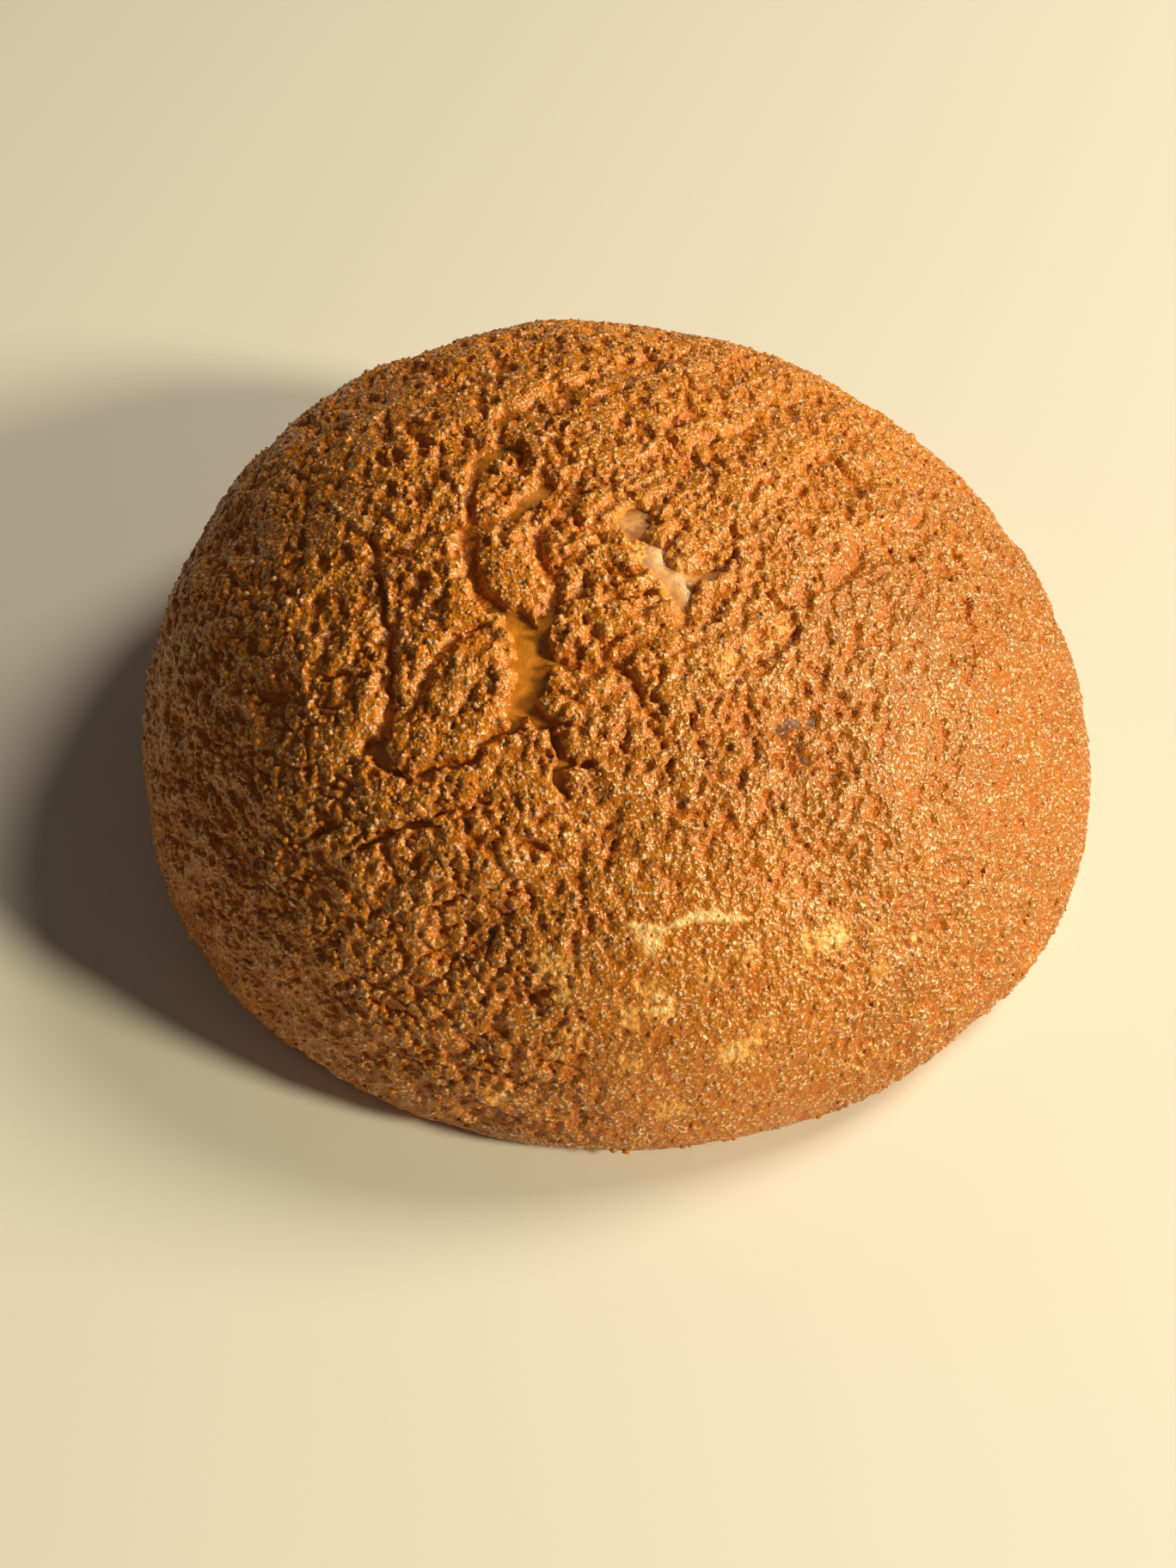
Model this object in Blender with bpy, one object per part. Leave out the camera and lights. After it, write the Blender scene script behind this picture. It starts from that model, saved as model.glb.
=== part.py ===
"""Coffee bun: a domed bread roll baked under a cookie crust that has crackled over the crown.

The bun is one solid in metres, +Z up. The origin is the middle of its flat base, so the bun
stands on z = 0. The front, with most of the crackle, faces -Y.
"""

import math

import bmesh
import bpy
import numpy as np
from mathutils import Vector, noise

MM = 0.001

# Driving dimensions, in metres.
RADIUS = 0.0522  # mean radius of the widest ring
HEIGHT = 0.04435  # flat base to the top of the smooth dome
WIDEST_HEIGHT = 0.007  # height of the widest ring above the base
BASE_INSET = 0.004  # how far the base edge stands inside the widest ring
CROWN_POWER = 2.075  # 2 is an ellipse; more makes the shoulders fuller
BASE_RIM_FADE = 0.0025  # height above the base over which the relief grows from nothing

# The widest ring is a circle with two and three low lobes: (lobes, cosine share, sine share).
PLAN_LOBES = ((2, -0.0193, -0.0220), (3, 0.0117, -0.0087))

# Relief of the crust, in metres.
CRACK_DEPTH = 0.0017  # main cracks, down to the bread
NARROWEST_CRACK = 0.0012
CRACK_WALL = 0.0007  # sideways run of a crack's ragged wall
RAGGED_SPACING = 0.0024  # bumps along the edge of a crack
RAGGED_REACH = 0.0007
PLATE_LIFT = 0.0005  # how far the broken plates stand above the rest
PLATE_CENTRE = (-0.009, -0.019)
PLATE_REACH = 0.026
HOLLOW_DEPTH = 0.0013  # pits and wrinkles between the crags
HOLLOW_SPACING = 0.0052
HOLLOW_STRETCH = 2.1  # hollows are this much longer along the grain
GRAIN = math.radians(38)  # direction of the grain on the crown in plan, from +X
CROWN_REACH = 0.030  # inside it the hollows follow that grain, and outside it they run downhill
SWELL_HEIGHT = 0.0005
SWELL_SPACING = 0.014
SCUFF_DEPTH = 0.0006
SMOOTH_CORNER = (0.022, -0.044)  # plan place of the smoothest part of the crust
SMOOTH_REACH = 0.040

# The cracks that show: (width at the start, width at the end, points in plan), in millimetres.
CRACKS = (
    (1.0, 1.0, ((-9.7, -0.5), (-9.8, 3.8), (-13.5, 2.8), (-14.4, -6.5))),
    (1.2, 2.6, ((-14.4, -6.5), (-14.0, -12.0), (-12.5, -16.6), (-8.4, -21.4), (-7.6, -24.6), (-9.4, -28.0))),
    (1.0, 1.7, ((-14.4, -8.1), (-10.5, -6.6), (-6.7, -2.5))),
    (0.8, 1.0, ((-23.8, -10.4), (-19.4, -8.0), (-14.9, -7.0))),
    (1.0, 1.5, ((-23.8, -4.2), (-23.2, -12.7), (-21.4, -22.2), (-22.6, -29.8))),
    (0.9, 1.0, ((-8.0, -9.9), (-6.0, -15.4), (-6.5, -19.0), (-7.4, -23.0))),
    (1.5, 0.9, ((-22.6, -29.8), (-18.2, -33.0), (-12.8, -31.3), (-9.4, -28.0))),
    (1.9, 2.4, ((-22.6, -29.8), (-26.9, -31.2), (-28.3, -33.4))),
    (1.5, 1.4, ((-26.8, -37.4), (-21.0, -36.6), (-15.4, -35.2))),
    (0.9, 0.9, ((-13.4, -19.3), (-17.1, -22.4), (-19.7, -26.9))),
    (2.6, 2.2, ((1.5, -6.2), (2.0, -9.3), (5.0, -14.3), (6.0, -18.0))),
    (1.4, 0.8, ((6.0, -15.3), (9.1, -13.1), (11.9, -9.8))),
    (0.9, 0.9, ((-7.4, -23.6), (-2.5, -24.6), (0.5, -25.2), (3.7, -29.4))),
    (1.6, 0.9, ((-9.4, -28.0), (-5.7, -29.9), (-5.4, -34.9))),
    (1.4, 1.4, ((9.3, -23.8), (13.3, -21.9), (17.2, -18.7))),
    (1.1, 1.1, ((21.9, 6.2), (23.8, 2.8), (24.3, 0.6))),
)
SCUFF = ((0.9, -44.4), (8.2, -43.6), (18.9, -42.9))
SCUFF_WIDTH = 1.8

# Mesh sizes.
SPHERE_SUBDIVISIONS = 8
TRIANGLE_SHARE = 0.068  # share of the fine triangles that the finished solid keeps
LONGEST_LEG = 0.004  # a crack's route is laid on the dome in legs no longer than this

CRUST_BROWN = (0.42, 0.19, 0.062, 1.0)
CRUST_ROUGHNESS = 0.55


def clear_scene():
    for obj in list(bpy.data.objects):
        bpy.data.objects.remove(obj, do_unlink=True)


def baked_crust():
    """Golden-brown baked cookie crust."""
    material = bpy.data.materials.new("baked_crust")
    material.use_nodes = True
    shader = material.node_tree.nodes["Principled BSDF"]
    shader.inputs["Base Color"].default_value = CRUST_BROWN
    shader.inputs["Roughness"].default_value = CRUST_ROUGHNESS
    shader.inputs["Metallic"].default_value = 0.0
    material.diffuse_color = CRUST_BROWN
    return material


def smooth_step(low, high, value):
    share = np.clip((value - low) / (high - low), 0.0, 1.0)
    return share * share * (3.0 - 2.0 * share)


def plan_factor(azimuth):
    factor = 1.0
    for lobes, cosine, sine in PLAN_LOBES:
        factor = factor + cosine * np.cos(lobes * azimuth) + sine * np.sin(lobes * azimuth)
    return factor


def plan_centre():
    """Middle of the box round the widest ring, which the bun is moved by to stand centred."""
    azimuth = np.linspace(0.0, 2.0 * math.pi, 3600)
    x = RADIUS * plan_factor(azimuth) * np.cos(azimuth)
    y = RADIUS * plan_factor(azimuth) * np.sin(azimuth)
    return 0.5 * (x.max() + x.min()), 0.5 * (y.max() + y.min())


def bun_form(sphere):
    """Moves points of a unit hemisphere onto the smooth bun, evenly spaced down its side."""
    azimuth = np.arctan2(sphere[:, 1], sphere[:, 0])
    down = np.arccos(np.clip(sphere[:, 2], 0.0, 1.0)) / (0.5 * math.pi)
    dome_length = 0.5 * math.pi * math.sqrt((RADIUS**2 + (HEIGHT - WIDEST_HEIGHT) ** 2) / 2)
    edge_length = 0.5 * math.pi * math.sqrt((BASE_INSET**2 + WIDEST_HEIGHT**2) / 2)
    dome_share = dome_length / (dome_length + edge_length)
    dome = 0.5 * math.pi * np.clip(1.0 - down / dome_share, 0.0, 1.0)
    edge = 0.5 * math.pi * np.clip((down - dome_share) / (1.0 - dome_share), 0.0, 1.0)
    radius = RADIUS * np.cos(dome) ** (2.0 / CROWN_POWER) - BASE_INSET * (1.0 - np.cos(edge))
    radius = radius * plan_factor(azimuth)
    height = WIDEST_HEIGHT * (1.0 - np.sin(edge))
    height = height + (HEIGHT - WIDEST_HEIGHT) * np.sin(dome) ** (2.0 / CROWN_POWER)
    centre_x, centre_y = plan_centre()
    return np.column_stack(
        (radius * np.cos(azimuth) - centre_x, radius * np.sin(azimuth) - centre_y, height)
    )


def on_dome(x, y):
    """The point of the smooth dome above a plan place."""
    centre_x, centre_y = plan_centre()
    from_x, from_y = x + centre_x, y + centre_y
    reach = math.hypot(from_x, from_y) / (RADIUS * plan_factor(math.atan2(from_y, from_x)))
    rise = max(1.0 - min(reach, 1.0) ** CROWN_POWER, 0.0) ** (1.0 / CROWN_POWER)
    return np.array((x, y, WIDEST_HEIGHT + (HEIGHT - WIDEST_HEIGHT) * rise))


def noise_at(points, spacing, seed):
    """Smooth noise from -1 to 1 with bumps about one spacing apart."""
    shift = Vector((17.0 * seed, 5.0 * seed, 29.0 * seed))
    return np.array([noise.noise(Vector(p) / spacing + shift) for p in points])


def route_on_dome(route):
    """The route of a crack, given in plan millimetres, as short legs over the dome."""
    laid = []
    for (x0, y0), (x1, y1) in zip(route, route[1:]):
        legs = max(1, math.ceil(math.hypot(x1 - x0, y1 - y0) * MM / LONGEST_LEG))
        for step in range(legs):
            share = step / legs
            laid.append(on_dome((x0 + (x1 - x0) * share) * MM, (y0 + (y1 - y0) * share) * MM))
    laid.append(on_dome(route[-1][0] * MM, route[-1][1] * MM))
    return laid


def trench(points, route, widths, wall):
    """1 on the floor of a crack along a route, falling to 0 over its wall."""
    laid = route_on_dome(route)
    legs = len(laid) - 1
    depth = np.zeros(len(points))
    for leg, (start, end) in enumerate(zip(laid, laid[1:])):
        run = end - start
        along = np.clip((points - start) @ run / (run @ run), 0.0, 1.0)
        away = np.linalg.norm(points - start - along[:, None] * run, axis=1)
        half_width = 0.5 * (widths[0] + (widths[1] - widths[0]) * (leg + along) / legs)
        depth = np.maximum(depth, 1.0 - smooth_step(half_width - 0.5 * wall, half_width + wall, away))
    return depth


def crack_field(points):
    """How deep each point lies in the main cracks, from 0 to 1."""
    ragged = points.copy()
    for axis in range(3):
        ragged[:, axis] += RAGGED_REACH * noise_at(points, RAGGED_SPACING, 1 + axis)
    depth = np.zeros(len(points))
    for start_width, end_width, route in CRACKS:
        widths = [max(width * MM, NARROWEST_CRACK) for width in (start_width, end_width)]
        depth = np.maximum(depth, trench(ragged, route, widths, CRACK_WALL))
    return depth


def hollow_field(points):
    """Pits and wrinkles of the crust from 0 to 1, longer along the grain."""
    cos_grain, sin_grain = math.cos(GRAIN), math.sin(GRAIN)
    along = (points[:, 0] * cos_grain + points[:, 1] * sin_grain) / HOLLOW_STRETCH
    across = points[:, 1] * cos_grain - points[:, 0] * sin_grain
    crown = noise_at(np.column_stack((along, across, points[:, 2])), HOLLOW_SPACING, 5)
    reach = np.hypot(points[:, 0], points[:, 1])
    around = RADIUS * points[:, :2] / np.maximum(reach, MM)[:, None]
    downhill = (reach - points[:, 2]) / HOLLOW_STRETCH
    side = noise_at(np.column_stack((around, downhill)), HOLLOW_SPACING, 6)
    outside = smooth_step(0.7 * CROWN_REACH, 1.2 * CROWN_REACH, reach)
    fine = noise_at(points, 0.5 * HOLLOW_SPACING, 7)
    return smooth_step(0.0, 0.45, crown * (1.0 - outside) + side * outside + 0.35 * fine)


def crust_relief(points):
    """How far the crust stands out of the smooth form at each point, in metres."""
    from_smooth = np.hypot(points[:, 0] - SMOOTH_CORNER[0], points[:, 1] - SMOOTH_CORNER[1])
    rough = 0.25 + 0.75 * smooth_step(0.3 * SMOOTH_REACH, SMOOTH_REACH, from_smooth)
    from_plates = np.hypot(points[:, 0] - PLATE_CENTRE[0], points[:, 1] - PLATE_CENTRE[1])
    plates = 1.0 - smooth_step(0.5 * PLATE_REACH, PLATE_REACH, from_plates)
    broken = crack_field(points)
    height = SWELL_HEIGHT * noise_at(points, SWELL_SPACING, 8) + PLATE_LIFT * plates
    height -= HOLLOW_DEPTH * hollow_field(points) * rough * (1.0 - broken)
    height -= CRACK_DEPTH * broken
    height -= SCUFF_DEPTH * trench(points, SCUFF, (SCUFF_WIDTH * MM, SCUFF_WIDTH * MM), CRACK_WALL)
    return height * smooth_step(0.0, BASE_RIM_FADE, points[:, 2])


def fine_hemisphere():
    """A finely divided unit hemisphere, closed by one flat face."""
    mesh = bmesh.new()
    bmesh.ops.create_icosphere(mesh, subdivisions=SPHERE_SUBDIVISIONS, radius=1.0)
    everything = mesh.verts[:] + mesh.edges[:] + mesh.faces[:]
    bmesh.ops.bisect_plane(
        mesh, geom=everything, dist=1e-5, plane_co=(0, 0, 0), plane_no=(0, 0, -1), clear_outer=True
    )
    rim = [edge for edge in mesh.edges if edge.is_boundary]
    bmesh.ops.contextual_create(mesh, geom=rim)
    bmesh.ops.recalc_face_normals(mesh, faces=mesh.faces[:])
    return mesh


def coffee_bun(collection):
    mesh = bpy.data.meshes.new("coffee_bun")
    hemisphere = fine_hemisphere()
    hemisphere.to_mesh(mesh)
    hemisphere.free()
    count = len(mesh.vertices)
    points = np.empty(3 * count)
    mesh.vertices.foreach_get("co", points)
    points = bun_form(points.reshape(count, 3))
    mesh.vertices.foreach_set("co", points.ravel())
    mesh.update()
    normals = np.empty(3 * count)
    mesh.vertices.foreach_get("normal", normals)
    points += normals.reshape(count, 3) * crust_relief(points)[:, None]
    mesh.vertices.foreach_set("co", points.ravel())
    mesh.update()
    bun = bpy.data.objects.new("coffee_bun", mesh)
    collection.objects.link(bun)
    mesh.materials.append(baked_crust())
    mesh.shade_smooth()
    thin = bun.modifiers.new("thin", "DECIMATE")
    thin.decimate_type = "COLLAPSE"
    thin.ratio = TRIANGLE_SHARE
    thin.use_collapse_triangulate = True
    return bun


def main():
    clear_scene()
    collection = bpy.data.collections.new("coffee_bun")
    bpy.context.scene.collection.children.link(collection)
    coffee_bun(collection)


main()
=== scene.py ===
import math
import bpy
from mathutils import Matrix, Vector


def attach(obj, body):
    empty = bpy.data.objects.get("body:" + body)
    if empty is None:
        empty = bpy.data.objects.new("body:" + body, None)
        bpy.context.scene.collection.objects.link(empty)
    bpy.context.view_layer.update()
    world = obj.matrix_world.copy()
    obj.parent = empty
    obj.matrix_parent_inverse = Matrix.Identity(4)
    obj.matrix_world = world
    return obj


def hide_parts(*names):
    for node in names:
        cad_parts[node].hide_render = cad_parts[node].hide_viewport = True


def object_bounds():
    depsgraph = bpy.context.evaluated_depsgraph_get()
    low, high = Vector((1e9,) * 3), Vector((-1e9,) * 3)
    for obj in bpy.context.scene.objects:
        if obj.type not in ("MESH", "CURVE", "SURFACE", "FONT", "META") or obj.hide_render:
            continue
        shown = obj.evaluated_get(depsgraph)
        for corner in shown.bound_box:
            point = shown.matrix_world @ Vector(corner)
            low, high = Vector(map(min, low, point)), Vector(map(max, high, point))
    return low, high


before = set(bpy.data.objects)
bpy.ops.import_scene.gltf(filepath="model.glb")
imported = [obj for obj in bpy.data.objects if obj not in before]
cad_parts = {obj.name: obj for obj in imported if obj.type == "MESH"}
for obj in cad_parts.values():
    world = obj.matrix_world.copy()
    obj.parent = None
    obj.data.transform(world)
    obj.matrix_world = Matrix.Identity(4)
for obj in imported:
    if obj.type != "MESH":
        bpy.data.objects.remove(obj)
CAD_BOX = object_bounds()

from types import SimpleNamespace

import bpy
import numpy as np
from bpy.props import FloatProperty, FloatVectorProperty, IntProperty, PointerProperty
from mathutils import Vector, noise

bl_info = {
    "name": "Coffee Bun",
    "version": (1, 0, 0),
    "blender": (4, 5, 0),
    "location": "3D View > Sidebar > Coffee Bun",
    "description": "A coffee bun: bread, crackled cookie crust, crumbs, sugar and a plain studio",
    "category": "Add Mesh",
}

MM = 0.001
BODY = "root"
NODE = "coffee_bun"
# What colours the crust and its grains: how deep they are, which paints shade into the hollows, and how
# orange and worn.
CRUST_FIELDS = ("deep", "ember", "worn")

# The smooth form, in metres: the same named sizes as the solid that the crust replaces.
RADIUS = 0.0522
HEIGHT = 0.04435
WIDEST_HEIGHT = 0.007
BASE_INSET = 0.004
CROWN_POWER = 2.075
PLAN_LOBES = ((2, -0.0193, -0.0220), (3, 0.0117, -0.0087))
BASE_RIM_FADE = 2.5 * MM
SKIN_INSET = 0.30 * MM

# Crackle of the crown, in plan: (width at the start, width at the end, points), in millimetres.
CRACKS = (
    (0.9, 1.5, ((-9.7, -0.5), (-9.3, 1.7), (-9.8, 3.4))),
    (1.7, 2.6, ((-9.8, 3.4), (-11.5, 3.6), (-13.0, 2.6))),
    (2.4, 1.5, ((-13.0, 2.6), (-13.8, 0.1))),
    (1.3, 1.2, ((-13.8, 0.1), (-14.4, -3.2), (-14.4, -6.5))),
    (1.2, 2.2, (
        (-14.4, -6.5), (-14.2, -9.7), (-13.8, -14.1), (-12.9, -16.2), (-11.4, -17.7), (-8.4, -21.4),
    )),
    (3.9, 4.0, ((-10.2, -19.8), (-8.6, -22.0), (-8.0, -24.0))),
    (3.9, 2.4, ((-8.0, -24.0), (-8.4, -26.0), (-9.4, -28.0))),
    (1.0, 2.0, ((-14.4, -8.1), (-12.5, -7.7), (-10.5, -6.6), (-9.0, -5.0), (-6.7, -2.5))),
    (0.7, 0.9, ((-23.8, -10.4), (-21.3, -9.1), (-19.4, -8.0), (-17.4, -7.6), (-14.9, -7.0))),
    (0.7, 1.1, (
        (-23.8, -4.2), (-23.8, -9.5), (-22.6, -14.8), (-21.6, -19.0), (-21.5, -25.4), (-22.6, -29.8),
    )),
    (1.1, 1.3, ((-8.0, -9.9), (-7.5, -12.1), (-6.0, -15.4), (-6.5, -19.0), (-7.0, -22.4))),
    (1.0, 0.9, (
        (-8.9, -29.0), (-10.3, -29.9), (-12.3, -30.5), (-13.4, -32.2), (-16.8, -32.1), (-18.2, -32.8),
    )),
    (1.6, 0.8, ((-23.2, -29.0), (-22.2, -30.3), (-20.5, -32.1), (-18.2, -32.9))),
    (0.7, 0.5, ((-23.2, -29.0), (-25.0, -29.9), (-26.9, -31.2))),
    (0.9, 0.7, ((-26.9, -34.3), (-29.7, -34.5))),
    (0.5, 0.7, ((-15.4, -35.6), (-17.9, -36.2), (-20.2, -36.4))),
    (0.7, 0.3, ((-20.2, -36.4), (-23.4, -36.9), (-26.4, -36.9))),
    (0.8, 0.8, ((-13.4, -19.3), (-15.8, -20.3), (-17.1, -22.4), (-19.7, -26.9))),
    (0.3, 0.3, ((-12.2, -24.6), (-14.5, -27.6), (-15.3, -29.5))),
    (0.7, 0.7, ((-28.0, -21.4), (-25.6, -21.5), (-24.1, -19.8), (-22.2, -19.4))),
    (2.9, 2.8, ((1.5, -6.9), (1.6, -8.5))),
    (1.3, 1.9, ((1.6, -9.6), (3.0, -12.0), (4.0, -13.6))),
    (1.9, 2.4, ((4.0, -13.6), (5.2, -15.3))),
    (2.0, 0.7, ((5.2, -15.3), (6.3, -16.9), (6.4, -19.0))),
    (0.7, 0.7, ((0.0, -9.5), (-1.5, -10.1), (-2.2, -9.6))),
    (0.7, 0.7, ((-4.5, -7.6), (-3.3, -8.7))),
    (1.7, 0.6, ((5.6, -15.4), (8.1, -14.4), (9.6, -13.3), (11.1, -11.3))),
    (0.6, 0.6, ((6.2, -18.8), (7.4, -18.5), (9.4, -18.2))),
    (0.8, 0.8, ((-3.2, -15.6), (-3.7, -17.0), (-6.0, -19.0))),
    (0.6, 0.6, ((-1.0, -17.5), (0.5, -17.9), (3.0, -16.7))),
    (0.6, 0.6, ((-3.0, -19.2), (-3.3, -20.3), (-1.1, -22.4))),
    (0.8, 1.0, ((-6.8, -23.6), (-5.5, -24.1), (-2.5, -24.6), (-1.3, -24.2), (-0.9, -22.4))),
    (1.0, 0.5, ((-1.2, -23.8), (0.5, -25.2), (2.4, -27.9), (3.7, -29.4))),
    (1.3, 0.7, (
        (-8.4, -28.0), (-6.9, -29.6), (-5.7, -29.9), (-5.4, -32.8), (-5.4, -34.9), (-4.8, -36.0),
    )),
    (0.6, 0.6, ((-5.0, -33.3), (-2.5, -33.1))),
    (0.5, 0.7, ((12.1, -23.7), (13.9, -22.4), (15.8, -20.8), (16.9, -19.5))),
    (0.8, 0.8, ((14.3, -15.5), (15.8, -17.0))),
    (0.6, 0.6, ((6.4, -29.1), (7.3, -31.3), (8.0, -32.4))),
    (0.8, 0.8, ((-9.1, -39.2), (-7.4, -39.5), (-5.9, -40.2))),
    (0.5, 0.5, ((-18.4, -42.7), (-14.4, -42.0))),
    (0.7, 0.7, ((-11.8, -42.2), (-7.9, -42.5))),
    (1.2, 1.0, ((-20.3, 7.9), (-19.0, 6.0))),
    (0.8, 0.8, ((-11.7, 9.3), (-11.5, 5.6))),
    (1.2, 1.0, ((-5.0, 14.2), (-4.5, 10.7))),
    (0.8, 0.8, ((5.0, 4.8), (7.0, 1.7))),
    (1.2, 1.3, ((21.9, 6.2), (23.8, 2.8), (24.3, 0.6))),
    (1.1, 1.0, ((33.8, -2.0), (34.9, -4.3))),
    (1.1, 0.9, ((34.7, -9.4), (35.1, -12.6), (34.1, -14.0))),
)
# A longer leg of a crack is split, so that it follows the dome.
LONGEST_LEG = 4.0 * MM
# A point farther than this from a crack's middle is out of its reach.
CRACK_SEARCH = 22.0 * MM
# How much wider a crack opens than drawn, how wide its wall is, and how far from it plates rise.
CRACK_OPENING = 0.3 * MM
CRACK_WALL = 0.32 * MM
CRACK_SHOULDER = 1.2 * MM
# Farther from a crack or a scuff than any point of the bun, in metres.
FAR_OFF = 1.0

# Where the bread in a crack is palest and swells up: plan place, reach and paleness, in millimetres.
PALE_BREAD = (
    (1.8, -8.0, 3.2, 0.6), (3.4, -12.6, 2.8, 0.95), (4.7, -14.6, 2.8, 0.85), (6.0, -16.4, 2.4, 0.55),
    (7.8, -14.4, 1.8, 0.2), (-7.6, -3.8, 3.0, 0.12),
)
# Where a crack opens down to the bread: plan place, reach and how amber the bread is.
AMBER_BREAD = (
    (-9.0, -21.6, 7.0, 1.0), (-8.8, -27.0, 4.5, 0.9), (-12.2, 2.8, 3.6, 0.7), (-8.2, -4.4, 4.5, 0.9),
    (3.6, -12.0, 9.0, 1.0), (-22.3, -30.4, 3.2, 0.9), (-18.5, -36.3, 3.4, 0.7), (-5.4, -33.5, 3.5, 0.9),
)
# Where the crust slumped into a crack and fills it half way: plan place, reach and strength.
SHELVES = (
    (-11.8, -19.0, 1.6, 1.0), (-11.0, -20.8, 1.5, 1.0), (-10.3, -22.8, 1.2, 1.0),
    (-10.0, -24.8, 0.9, 0.8), (2.1, -11.0, 1.3, 0.9), (2.9, -13.0, 1.0, 0.6),
)
# Plates of sound crust, hardly pitted, first the oval one that has no grooves either: plan place, reach
# and strength.
OVAL_PLATE = ((-10.2, -13.8, 4.6, 1.0), (-10.0, -16.5, 3.4, 1.0))
SOUND_PLATES = (
    *OVAL_PLATE, (-14.6, -23.5, 5.0, 0.7), (-12.6, -27.2, 4.5, 0.7), (-3.8, -19.0, 4.0, 0.7),
    (-3.2, -28.5, 5.5, 0.6), (-0.2, -15.0, 4.0, 0.5), (-10.2, -1.2, 4.0, 0.6), (-1.6, -12.0, 4.0, 0.5),
    (-19.0, -13.0, 4.5, 0.4), (-18.0, -21.0, 4.0, 0.5),
)
# The pale lip of scuffed crust, as legs of (width at the start, width at the end, points).
SCUFFED_LIP = (
    (0.35, 0.5, ((0.6, -44.9), (3.7, -45.1), (5.2, -44.7))),
    (0.7, 1.0, ((5.2, -44.7), (6.4, -44.3), (7.4, -44.1))),
    (1.0, 0.3, ((7.4, -44.1), (9.7, -44.0), (11.6, -43.9))),
)
LIP_EDGE = (-0.1 * MM, 0.2 * MM)
LIP_HEIGHT = 0.25 * MM
# The thin pale skin below the lip, and how far to the front of the middle it starts and is full.
SCUFFED_SKIN = ((3.4, 0.3, ((2.7, -45.2), (3.1, -46.9))),)
SCUFFED_SKIN_TOP = (44.8 * MM, 45.2 * MM)
SCUFFED_SKIN_EDGE = (-0.2 * MM, 0.3 * MM)
SCUFFED_SKIN_HEIGHT = 0.05 * MM
# Pale flecks where the crust is thin, the last a pale grain: plan place, reach and strength.
FLECKS = (
    (19.8, -43.4, 2.2, 1.0), (17.6, -44.2, 1.7, 0.7), (24.0, -42.0, 1.0, 0.5), (28.0, -41.1, 0.8, 1.0),
    (-6.2, -47.4, 2.3, 0.7), (-5.0, -48.6, 1.8, 0.65), (3.9, -49.4, 2.1, 1.0), (0.8, -50.0, 2.0, 0.65),
    (2.4, -48.6, 1.4, 0.6), (10.6, -50.8, 2.1, 0.95), (12.2, -50.2, 1.5, 0.7), (-4.1, -50.7, 1.4, 0.7),
    (-5.4, -51.4, 1.0, 0.8), (-10.9, -52.0, 2.0, 1.0), (1.2, -51.8, 1.5, 0.6), (4.9, -52.9, 1.8, 0.6),
    (13.4, -49.3, 1.4, 0.4), (12.0, -46.0, 2.0, 0.3), (8.0, -47.5, 2.2, 0.3), (24.5, -44.0, 1.4, 0.35),
    (9.3, -24.4, 1.2, 0.5), (10.7, -23.1, 1.2, 0.5), (12.5, -21.7, 1.2, 0.6), (14.4, -20.2, 1.2, 0.5),
    (15.6, -19.2, 1.1, 0.5), (37.5, -36.2, 0.7, 1.0),
)
# The share of a spot's reach in which it has its full strength, and how many times as far as the pale
# bread the crust is torn, where it gets a painted glow.
SPOT_HEART = 0.35
TORN_REACH = 1.5
# How far the edges of such spots and bands stray.
OPENING_STRAY = 0.5 * MM
SHELF_STRAY = 0.6 * MM
OVAL_STRAY = 0.5 * MM
PLATE_STRAY = 0.9 * MM
FLECK_STRAY = 0.9 * MM
LIP_STRAY = 0.12 * MM
SCUFFED_SKIN_STRAY = 0.3 * MM

# Zones of the crust, in metres in plan. Each band gives the two distances over which a zone fades: from
# the smooth corner, from the middle of the broken plates, from the top of the crown and, for the calm
# right flank, to the right.
SMOOTH_CORNER = (0.010, -0.052)
SMOOTH_BAND = (0.006, 0.020)
PLATE_CENTRE = (-0.009, -0.019)
PLATE_BAND = (0.013, 0.026)
CROWN_BAND = (0.021, 0.036)
CALM_BAND = (0.006, 0.034)
# Where the side of the bun starts and is full, as shares of its radius.
SIDE_BAND = (0.62, 0.92)
# The crust thins in this direction of the plan, from the first share of the radius to the second. It is
# the side the key light falls on hardest, so its orange is painted darker there.
THIN_TOWARDS = (0.75, -0.65)
THIN_BAND = (0.15, 0.65)

# Directions in which forms are drawn out, and how many times as long as wide each kind is.
DRAG = math.radians(38)
UPRIGHT = math.radians(90)
HOLLOW_STRETCH = 2.1
GROOVE_STRETCH = 3.2
LUMP_STRETCH = 1.5
PIT_STRETCH = 1.7
FINE_PIT_STRETCH = 1.9
PORE_STRETCH = 1.5

# The noise of each kind of form: its spacing, and a seed that only moves the pattern along.
SWELLINGS = (14.0 * MM, 8)
HOLLOWS = (5.2 * MM, 5)
LOOSE_PATCHES = (4.0 * MM, 62)
HOLES = (2.6 * MM, 34)
LUMPS = (1.9 * MM, 61)
PORES = (1.9 * MM, 41)
COARSE_GRIT = (1.5 * MM, 51)
GROOVES = (1.4 * MM, 31)
PITS = (1.3 * MM, 32)
LUMPY_GRIT = (0.85 * MM, 52)
CRUMB_LUMPS = (0.85 * MM, 63)
FINE_PITS = (0.8 * MM, 35)
SANDY_GRIT = (0.5 * MM, 53)
BREAD_FOLDS = (2.5 * MM, 71)
BREAD_DIMPLES = (1.2 * MM, 72)
SEED_SHIFT = (17.0, 5.0, 29.0)
CELL_LEVEL_SCALE = 7.3
# How ragged edges stray: how far, the spacing and the seed, for their wide and their fine scallops.
SCALLOPS = ((0.50 * MM, 2.4 * MM, 1), (0.42 * MM, 1.0 * MM, 21))

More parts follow.
